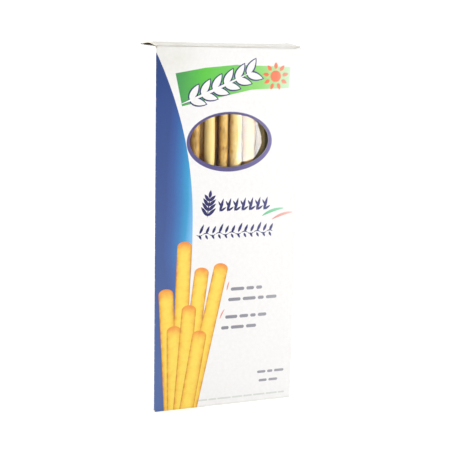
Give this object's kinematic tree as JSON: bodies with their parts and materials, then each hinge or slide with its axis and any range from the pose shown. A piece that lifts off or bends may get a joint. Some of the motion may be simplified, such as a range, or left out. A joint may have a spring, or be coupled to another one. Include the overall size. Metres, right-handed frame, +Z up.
{
  "type": "breadstick carton",
  "caption": "Shut tuck-end board carton of breadsticks, standing upright, with an oval film window in its printed front panel and the sticks standing in rows behind it.",
  "frame": {"origin": "middle of the carton's footprint, on the surface that it stands on", "axes": "+Z up; the printed panel with the window faces -Y, and +X is to the right seen from the front"},
  "size_m": [0.092, 0.038, 0.2267],
  "materials": {
    "carton_board": "satin",
    "clear_film": "gloss",
    "baked_dough": "matte"
  },
  "bodies": {
    "root": {"carton": "carton_board", "window_film": "clear_film", "stick_01": "baked_dough", "stick_02": "baked_dough", "stick_03": "baked_dough", "stick_04": "baked_dough", "stick_05": "baked_dough", "stick_06": "baked_dough", "stick_07": "baked_dough", "stick_08": "baked_dough", "stick_09": "baked_dough", "stick_10": "baked_dough", "stick_11": "baked_dough", "stick_12": "baked_dough", "stick_13": "baked_dough", "stick_14": "baked_dough", "stick_15": "baked_dough", "stick_16": "baked_dough", "stick_17": "baked_dough", "stick_18": "baked_dough", "stick_19": "baked_dough", "stick_20": "baked_dough", "stick_21": "baked_dough", "stick_22": "baked_dough", "stick_23": "baked_dough", "stick_24": "baked_dough", "stick_25": "baked_dough", "stick_26": "baked_dough", "stick_27": "baked_dough", "stick_28": "baked_dough", "stick_29": "baked_dough", "stick_30": "baked_dough", "stick_31": "baked_dough", "stick_32": "baked_dough", "stick_33": "baked_dough", "stick_34": "baked_dough", "stick_35": "baked_dough", "stick_36": "baked_dough", "stick_37": "baked_dough", "stick_38": "baked_dough", "stick_39": "baked_dough", "stick_40": "baked_dough"}
  },
  "joints": []
}
